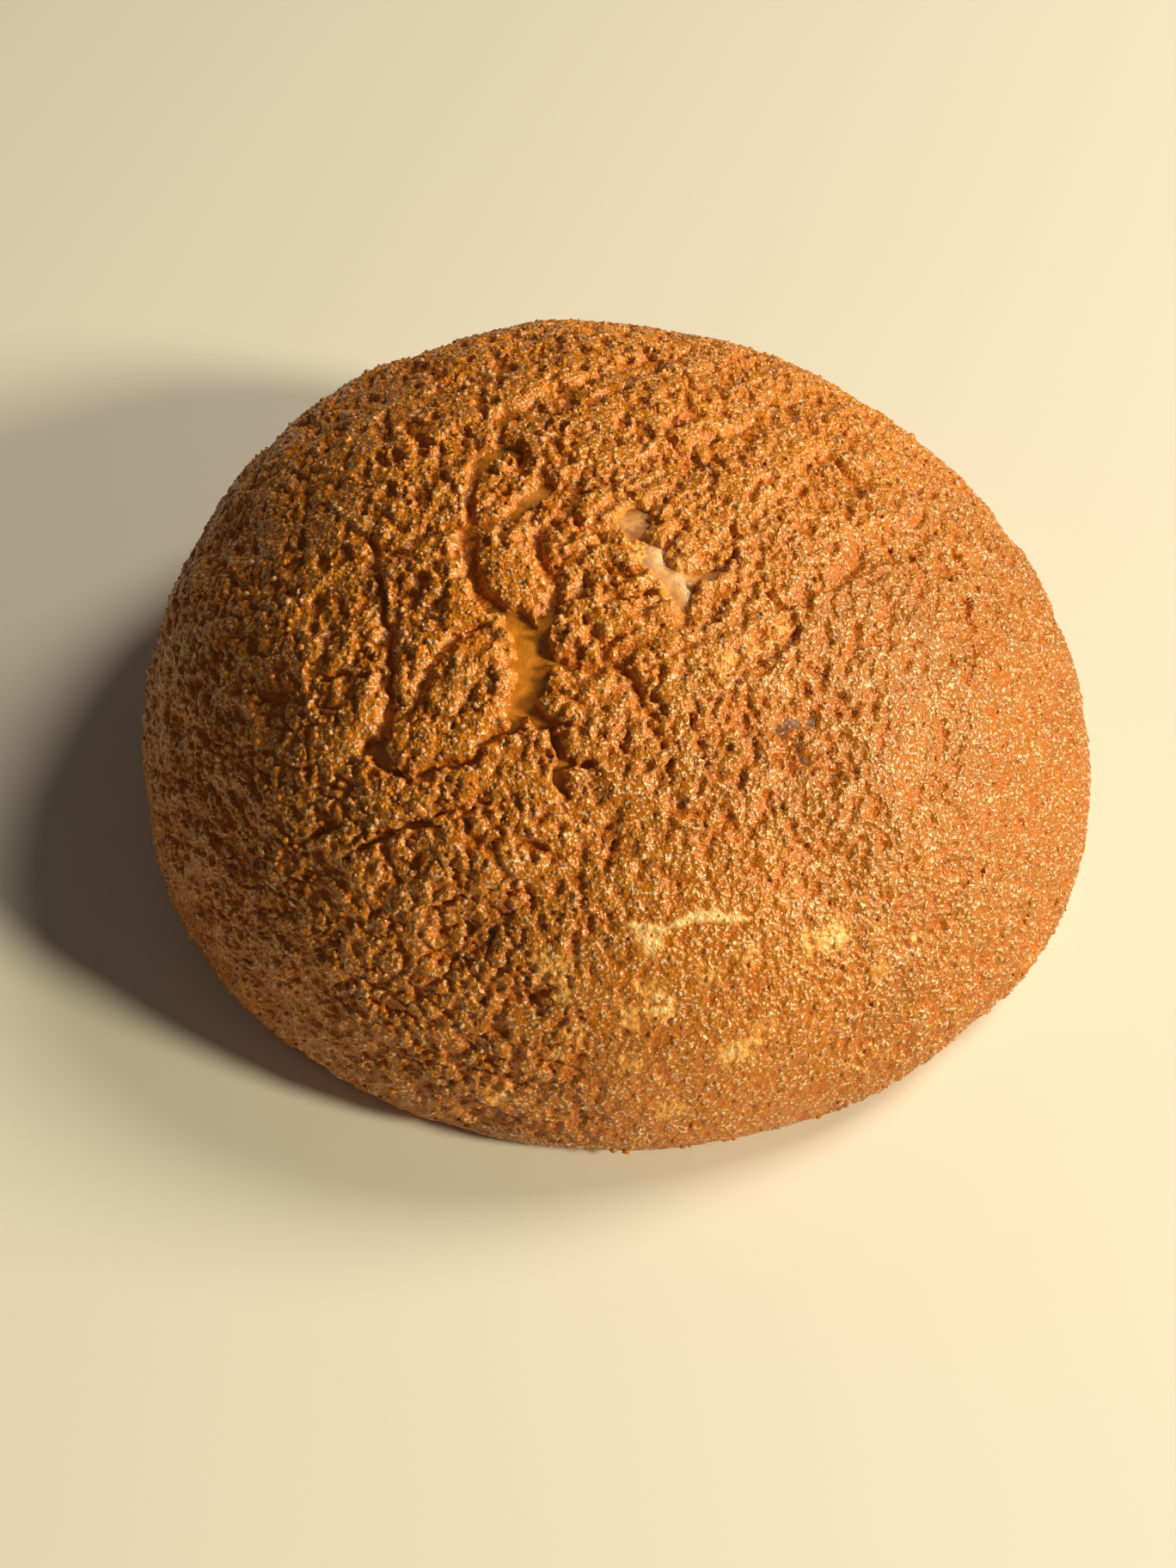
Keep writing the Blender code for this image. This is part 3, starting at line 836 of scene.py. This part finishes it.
def sow(name, skin, shape, count, liking, smallest, largest, proud, seed):
    """A piece of many grains, seated on the crust where the liking (per crust point) is high.

    A grain's middle lies proud of the crust by a share of its size, or in it where proud is negative.
    """
    random = np.random.default_rng(seed)
    corners = skin_corners(skin)
    points = read_points(skin)
    a, b, c = (points[corners[:, k]] for k in range(3))
    across = np.cross(b - a, c - a)
    doubled_area = np.linalg.norm(across, axis=1)
    above_base = points[corners, 2].min(axis=1) >= LOWEST_GRAIN
    share = doubled_area * liking[corners].mean(axis=1) * above_base
    seats = random.choice(len(corners), count, p=share / share.sum())
    # Two draws give a place in a square, which is folded over into the triangle.
    u, v = random.random((2, count))
    over = u + v > 1.0
    u = np.where(over, 1.0 - u, u)[:, None]
    v = np.where(over, 1.0 - v, v)[:, None]
    normals = across[seats] / doubled_area[seats, None]
    size = smallest + (largest - smallest) * random.random(count) ** 2
    places = a[seats] + (b - a)[seats] * u + (c - a)[seats] * v + normals * (proud * size)[:, None]
    grain, triangles = shape
    stretch = size[:, None] * random.uniform(*GRAIN_STRETCH, (count, 3))
    stretched = grain[None] * stretch[:, None, :]
    grains = np.einsum("nij,nkj->nki", turned(count, random), stretched) + places[:, None, :]
    kept = ((grains >= np.array(CAD_BOX[0])) & (grains <= np.array(CAD_BOX[1]))).all(axis=(1, 2))
    grains, seats, count = grains[kept], seats[kept], kept.sum()
    faces = triangles[None] + len(grain) * np.arange(count)[:, None, None]
    mesh = bpy.data.meshes.new(name)
    mesh.from_pydata(grains.reshape(-1, 3), [], faces.reshape(-1, 3))
    paint(mesh, "tone", np.repeat(random.random(count), len(grain)))
    for field in CRUST_FIELDS:
        paint(mesh, field, np.repeat(read_paint(skin, field)[corners[seats, 0]], len(grain)))
    piece = bpy.data.objects.new(name, mesh)
    bpy.context.scene.collection.objects.link(piece)
    return piece


# ---------------------------------------------------------------- finishes


def add_node(tree, kind, inputs=(), **settings):
    """Adds a node, sets its settings, and fills or links its inputs."""
    node = tree.nodes.new(kind)
    for key, value in settings.items():
        setattr(node, key, value)
    for key, value in dict(inputs).items():
        if isinstance(value, bpy.types.NodeSocket):
            tree.links.new(value, node.inputs[key])
        else:
            node.inputs[key].default_value = value
    return node


def new_material(name):
    material = bpy.data.materials.new(name)
    material.use_nodes = True
    tree = material.node_tree
    return material, tree, tree.nodes["Principled BSDF"]


def rgba(colour):
    return (*colour, 1.0)


def browned(tree, tone):
    """Crust colour: brown to gold by the tone, with a painted highlight on the crust's grain crests and
    painted shade between its grains and in its hollows; orange where thin, painted darker toward the
    key light; pale where worn.
    """
    colour = colours()
    place = add_node(tree, "ShaderNodeTexCoord").outputs["Object"]
    field = {
        name: add_node(tree, "ShaderNodeAttribute", attribute_name=name).outputs["Fac"]
        for name in CRUST_FIELDS
    }
    patch = add_node(
        tree, "ShaderNodeTexNoise",
        {"Vector": place, "Scale": 1.0 / BROWNING_PATCH, "Detail": 3.0, "Roughness": 0.6},
    )
    shade = add_node(
        tree, "ShaderNodeMapRange",
        {"Value": patch.outputs["Fac"], "From Min": 0.3, "From Max": 0.7, "To Min": 0.8, "To Max": 1.1},
    )
    body = add_node(
        tree, "ShaderNodeMix",
        {"Factor": field["ember"], "A": rgba(colour.crust_brown), "B": rgba(colour.crust_ember)},
        data_type="RGBA",
    )
    shaded = add_node(
        tree, "ShaderNodeVectorMath",
        {0: body.outputs["Result"], "Scale": shade.outputs["Result"]}, operation="SCALE",
    )
    # How each colour comes in: the value it follows, where it starts and is full, its least and most.
    # gold_and_glint is a painted highlight on the crust's grain crests and a paler tone at random on
    # crumbs and sugar. hollow_shade paints shade into hollows and cracks; between paints shade between
    # the crust's grains and is a darker tone at random on crumbs and sugar.
    gold_and_glint, hollow_shade, between, thinned, bared = (
        add_node(
            tree, "ShaderNodeMapRange",
            {"Value": value, "From Min": start, "From Max": full, "To Min": least, "To Max": most},
        ).outputs["Result"]
        for value, start, full, least, most in (
            (tone, 0.55, 0.92, 0.0, 0.8),
            (field["deep"], 0.1, 0.85, 0.0, 0.7),
            (tone, 0.0, 0.5, 0.6, 0.0),
            (field["worn"], 0.0, 0.5, 0.0, 0.8),
            (field["worn"], 0.5, 1.0, 0.0, 0.9),
        )
    )
    shadowed = add_node(tree, "ShaderNodeMath", {0: hollow_shade, 1: between}, operation="MAXIMUM")
    mixed = shaded.outputs["Vector"]
    for share, over in (
        (gold_and_glint, colour.crust_gold_and_glint),
        (shadowed.outputs["Value"], colour.crust_deep_shade),
        (thinned, colour.thin),
        (bared, colour.scuff),
    ):
        mixed = add_node(
            tree, "ShaderNodeMix", {"Factor": share, "A": mixed, "B": rgba(over)}, data_type="RGBA"
        ).outputs["Result"]
    return mixed


def baked_cookie_crust():
    """Baked cookie dough: a browned, sandy skin whose grains glint, with painted highlights and shade
    on them, orange where it is thin and painted darker toward the key light.
    """
    # The real grains are finer than a pixel of the render. They are drawn coarser, so that they show.
    size = sizes()
    material, tree, shader = new_material("baked_cookie_crust")
    place = add_node(tree, "ShaderNodeTexCoord").outputs["Object"]
    fine = add_node(
        tree, "ShaderNodeTexNoise",
        {"Vector": place, "Scale": 1.0 / size.grain_size, "Detail": 1.0, "Roughness": 0.35},
    )
    strayed = add_node(
        tree, "ShaderNodeVectorMath",
        {0: fine.outputs["Color"], "Scale": GRAIN_STRAY}, operation="SCALE",
    )
    scattered = add_node(
        tree, "ShaderNodeVectorMath", {0: place, 1: strayed.outputs["Vector"]}, operation="ADD"
    )
    cell = add_node(
        tree, "ShaderNodeTexVoronoi",
        {"Vector": scattered.outputs["Vector"], "Scale": 1.0 / size.sand_size},
    )
    ball = add_node(
        tree, "ShaderNodeMapRange",
        {
            "Value": cell.outputs["Distance"],
            "From Min": 0.0, "From Max": 0.7, "To Min": 0.72, "To Max": 0.28,
        },
    )
    sand = add_node(
        tree, "ShaderNodeMix",
        {"Factor": 0.3, "A": fine.outputs["Fac"], "B": ball.outputs["Result"]},
    )
    # The tone follows the grains' height: their crests get a painted highlight, the low places between
    # them painted shade.
    tone = add_node(
        tree, "ShaderNodeMapRange",
        {"Value": sand.outputs["Result"], "From Min": 0.37, "From Max": 0.63},
    )
    bump = add_node(
        tree, "ShaderNodeBump",
        {"Height": sand.outputs["Result"], "Strength": 1.0, "Distance": GRAIN_BUMP},
    )
    gloss = add_node(
        tree, "ShaderNodeMapRange",
        {
            "Value": sand.outputs["Result"],
            "From Min": 0.40, "From Max": 0.60, "To Min": 0.34, "To Max": 0.22,
        },
    )
    tree.links.new(browned(tree, tone.outputs["Result"]), shader.inputs["Base Color"])
    tree.links.new(gloss.outputs["Result"], shader.inputs["Roughness"])
    tree.links.new(bump.outputs["Normal"], shader.inputs["Normal"])
    shader.inputs["IOR"].default_value = 1.57
    shader.inputs["Specular Tint"].default_value = rgba(colours().glint)
    return material


def crust_crumb():
    """Crumbs of the same baked dough: duller than the crust, each with a brown of its own."""
    material, tree, shader = new_material("crust_crumb")
    tone = add_node(tree, "ShaderNodeAttribute", attribute_name="tone").outputs["Fac"]
    own = add_node(tree, "ShaderNodeMapRange", {"Value": tone, "To Min": 0.3, "To Max": 0.85})
    tree.links.new(browned(tree, own.outputs["Result"]), shader.inputs["Base Color"])
    shader.inputs["Roughness"].default_value = 0.45
    shader.inputs["IOR"].default_value = 1.47
    return material


def sugar_crystal():
    """Browned sugar crystals: glassy little grains that catch the light."""
    colour = colours()
    material, tree, shader = new_material("sugar_crystal")
    tone = add_node(tree, "ShaderNodeAttribute", attribute_name="tone").outputs["Fac"]
    clear = add_node(tree, "ShaderNodeMapRange", {"Value": tone, "From Min": 0.3, "To Max": 0.5})
    mixed = add_node(
        tree, "ShaderNodeMix",
        {"Factor": clear.outputs["Result"], "A": browned(tree, tone), "B": rgba(colour.sugar)},
        data_type="RGBA",
    )
    tree.links.new(mixed.outputs["Result"], shader.inputs["Base Color"])
    shader.inputs["Roughness"].default_value = 0.25
    shader.inputs["IOR"].default_value = 1.54
    return material


def bread_crumb():
    """Soft wheat bread: smooth and moist, pale where it tore open last, amber where it browned, and
    dark brown elsewhere, partly painted shade for the narrow cracks.
    """
    colour = colours()
    material, tree, shader = new_material("bread_crumb")
    place = add_node(tree, "ShaderNodeTexCoord").outputs["Object"]
    amber, pale, base = (
        add_node(tree, "ShaderNodeAttribute", attribute_name=name).outputs["Fac"]
        for name in ("amber", "pale", "underside")
    )
    fibre = add_node(
        tree, "ShaderNodeTexNoise",
        {"Vector": place, "Scale": 1.0 / BREAD_FIBRE, "Detail": 4.0, "Roughness": 0.6},
    )
    cloud = add_node(
        tree, "ShaderNodeMapRange",
        {
            "Value": fibre.outputs["Fac"],
            "From Min": 0.3, "From Max": 0.7, "To Min": 0.65, "To Max": 1.15,
        },
    )
    mixed = rgba(colour.bread_brown)
    for share, over in (
        (amber, colour.bread_amber), (pale, colour.bread_pale), (base, colour.base_brown),
    ):
        mixed = add_node(
            tree, "ShaderNodeMix", {"Factor": share, "A": mixed, "B": rgba(over)}, data_type="RGBA"
        ).outputs["Result"]
    clouded = add_node(
        tree, "ShaderNodeVectorMath",
        {0: mixed, "Scale": cloud.outputs["Result"]}, operation="SCALE",
    )
    bump = add_node(
        tree, "ShaderNodeBump",
        {"Height": fibre.outputs["Fac"], "Strength": 0.6, "Distance": BREAD_BUMP},
    )
    tree.links.new(clouded.outputs["Vector"], shader.inputs["Base Color"])
    tree.links.new(bump.outputs["Normal"], shader.inputs["Normal"])
    shader.inputs["Roughness"].default_value = 0.28
    # Light goes deepest into the bread as red.
    shader.inputs["Subsurface Weight"].default_value = 0.4
    shader.inputs["Subsurface Radius"].default_value = (1.0, 0.45, 0.15)
    shader.inputs["Subsurface Scale"].default_value = BREAD_TRANSLUCENCE
    return material


def matt_paper():
    """Matt paper: a plain pale floor that takes a soft shadow."""
    material, tree, shader = new_material("matt_paper")
    shader.inputs["Base Color"].default_value = rgba(colours().floor)
    shader.inputs["Roughness"].default_value = 0.85
    return material


# ---------------------------------------------------------------- operators


class CoffeeBunAddBread(bpy.types.Operator):
    """Add the bread roll that shows in the cracks and underneath"""

    bl_idname = "coffee_bun.add_bread"
    bl_label = "Bread Roll"

    def execute(self, context):
        size = sizes()
        bread = half_ball("bread_roll", BREAD_SUBDIVISIONS)
        mesh = bread.data
        points = bun_form(read_points(mesh))
        write_points(mesh, points)
        swell = near_spots(points, PALE_BREAD, 0.0)
        height = size.bread_swell * swell - size.bread_depth
        height += BREAD_FOLD_HEIGHT * noise_at(points, *BREAD_FOLDS)
        height += BREAD_DIMPLE_HEIGHT * noise_at(points, *BREAD_DIMPLES)
        placed = points + read_normals(mesh) * height[:, None]
        placed[points[:, 2] < FLAT_BASE, 2] = 0.0
        write_points(mesh, placed)
        paint(mesh, "pale", swell)
        paint(mesh, "amber", near_spots(points, AMBER_BREAD, 0.0))
        paint(mesh, "underside", 1.0 - smooth_step(*BROWNED_BASE, points[:, 2]))
        mesh.shade_smooth()
        finish_piece(bread, bread_crumb())
        return {"FINISHED"}


class CoffeeBunAddCrust(bpy.types.Operator):
    """Add the crackled cookie crust"""

    bl_idname = "coffee_bun.add_crust"
    bl_label = "Cookie Crust"

    def execute(self, context):
        crust = half_ball(SKIN_NAME, CRUST_SUBDIVISIONS)
        mesh = crust.data
        points = bun_form(read_points(mesh))
        write_points(mesh, points)
        heights, fields = crust_relief(points)
        write_points(mesh, points + read_normals(mesh) * heights[:, None])
        for name, values in fields.items():
            paint(mesh, name, values)
        hollow_base(crust, BASE_LEDGE, BASE_RISE)
        mesh.shade_smooth()
        material = baked_cookie_crust()
        for name, planes in crust_cuts():
            finish_piece(cut_from(crust, name, planes), material)
        bpy.data.objects.remove(crust)
        return {"FINISHED"}


class CoffeeBunAddCrumbs(bpy.types.Operator):
    """Add the crumbs and sandy grains of the crust"""

    bl_idname = "coffee_bun.add_crumbs"
    bl_label = "Crumbs"

    def execute(self, context):
        size = sizes()
        skin = bpy.data.meshes[SKIN_NAME]
        deep, ember, plates = (read_paint(skin, name) for name in ("deep", "ember", "plates"))
        high = np.clip(1.0 - 1.3 * deep, 0.0, 1.0)
        rim = np.clip(1.0 - abs(deep - PIT_RIM) / PIT_RIM, 0.0, 1.0)
        crumb = crust_crumb()
        crumbs = sow(
            "crust_crumbs", skin, grain_shape(segments=5, rings=3), size.crumb_count,
            liking=(0.15 + high * (0.3 + 0.7 * plates) + 1.5 * rim) * (1.0 - 0.85 * ember),
            smallest=0.4 * MM, largest=0.75 * MM, proud=-0.05, seed=1,
        )
        crumbs.data.shade_smooth()
        finish_piece(crumbs, crumb)
        grains = sow(
            "crust_grains", skin, grain_shape(segments=4), size.grain_count,
            liking=0.12 + high, smallest=0.26 * MM, largest=0.42 * MM, proud=-0.2, seed=2,
        )
        finish_piece(grains, crumb)
        return {"FINISHED"}


class CoffeeBunAddSugar(bpy.types.Operator):
    """Add the glinting grains of sugar"""

    bl_idname = "coffee_bun.add_sugar"
    bl_label = "Sugar"

    def execute(self, context):
        skin = bpy.data.meshes[SKIN_NAME]
        deep = read_paint(skin, "deep")
        sugar = sow(
            "sugar_grains", skin, grain_shape(segments=3), sizes().sugar_count,
            liking=0.1 + np.clip(1.0 - 1.2 * deep, 0.0, 1.0),
            smallest=0.2 * MM, largest=0.34 * MM, proud=-0.15, seed=3,
        )
        finish_piece(sugar, sugar_crystal())
        return {"FINISHED"}


def add_floor():
    deselect()
    bpy.ops.mesh.primitive_plane_add(size=FLOOR_SIZE, location=(0, 0, -FLOOR_DROP))
    floor = bpy.context.object
    floor.name = "studio_floor"
    floor.data.materials.append(matt_paper())
    deselect()


def add_light(name, towards, elevation, distance, width, power, tint):
    """An area light in the direction given in plan, raised by elevation in degrees, facing the bun."""
    data = bpy.data.lights.new(name, "AREA")
    data.shape = "DISK"
    data.size = width
    data.energy = power
    data.color = tint
    light = bpy.data.objects.new(name, data)
    bpy.context.scene.collection.objects.link(light)
    raised = math.radians(elevation)
    flat = Vector((*towards, 0.0)).normalized() * math.cos(raised)
    aim = Vector((flat.x, flat.y, math.sin(raised)))
    light.location = aim * distance + LIGHT_AIM
    light.rotation_euler = (-aim).to_track_quat("-Z", "Y").to_euler()


def set_world():
    world = bpy.data.worlds.new("studio")
    bpy.context.scene.world = world
    world.use_nodes = True
    background = world.node_tree.nodes["Background"]
    background.inputs["Color"].default_value = WORLD_TINT
    background.inputs["Strength"].default_value = WORLD_STRENGTH
    bpy.context.scene.view_settings.view_transform = "Standard"


def add_camera():
    data = bpy.data.cameras.new("camera")
    data.lens = CAMERA_LENS
    data.sensor_width = CAMERA_SENSOR
    camera = bpy.data.objects.new("camera", data)
    bpy.context.scene.collection.objects.link(camera)
    camera.location = CAMERA_PLACE
    camera.rotation_euler = (math.radians(90.0 - CAMERA_PITCH), 0.0, 0.0)
    bpy.context.scene.camera = camera


class CoffeeBunSetStage(bpy.types.Operator):
    """Add the floor, the soft lights and the camera"""

    bl_idname = "coffee_bun.set_stage"
    bl_label = "Studio"

    def execute(self, context):
        add_floor()
        set_world()
        for light in LIGHTS:
            add_light(*light)
        add_camera()
        return {"FINISHED"}


class CoffeeBunPanel(bpy.types.Panel):
    """Sizes, colours and pieces of the coffee bun"""

    bl_idname = "VIEW3D_PT_coffee_bun"
    bl_label = "Coffee Bun"
    bl_space_type = "VIEW_3D"
    bl_region_type = "UI"
    bl_category = "Coffee Bun"

    def draw(self, context):
        for group in (context.scene.coffee_bun_sizes, context.scene.coffee_bun_colours):
            box = self.layout.box()
            for key in group.bl_rna.properties.keys():
                if key not in ("rna_type", "name"):
                    box.prop(group, key)
        for operator in OPERATORS:
            self.layout.operator(operator.bl_idname)


OPERATORS = (
    CoffeeBunAddBread, CoffeeBunAddCrust, CoffeeBunAddCrumbs, CoffeeBunAddSugar, CoffeeBunSetStage,
)
CLASSES = (CoffeeBunSizes, CoffeeBunColours, *OPERATORS, CoffeeBunPanel)


def register():
    for cls in CLASSES:
        bpy.utils.register_class(cls)
    bpy.types.Scene.coffee_bun_sizes = PointerProperty(type=CoffeeBunSizes)
    bpy.types.Scene.coffee_bun_colours = PointerProperty(type=CoffeeBunColours)


def unregister():
    del bpy.types.Scene.coffee_bun_colours
    del bpy.types.Scene.coffee_bun_sizes
    for cls in reversed(CLASSES):
        bpy.utils.unregister_class(cls)


def main():
    register()
    bpy.ops.coffee_bun.add_bread()
    bpy.ops.coffee_bun.add_crust()
    bpy.ops.coffee_bun.add_crumbs()
    bpy.ops.coffee_bun.add_sugar()
    bpy.data.meshes.remove(bpy.data.meshes[SKIN_NAME])
    bpy.ops.coffee_bun.set_stage()


if __name__ == "__main__":
    main()
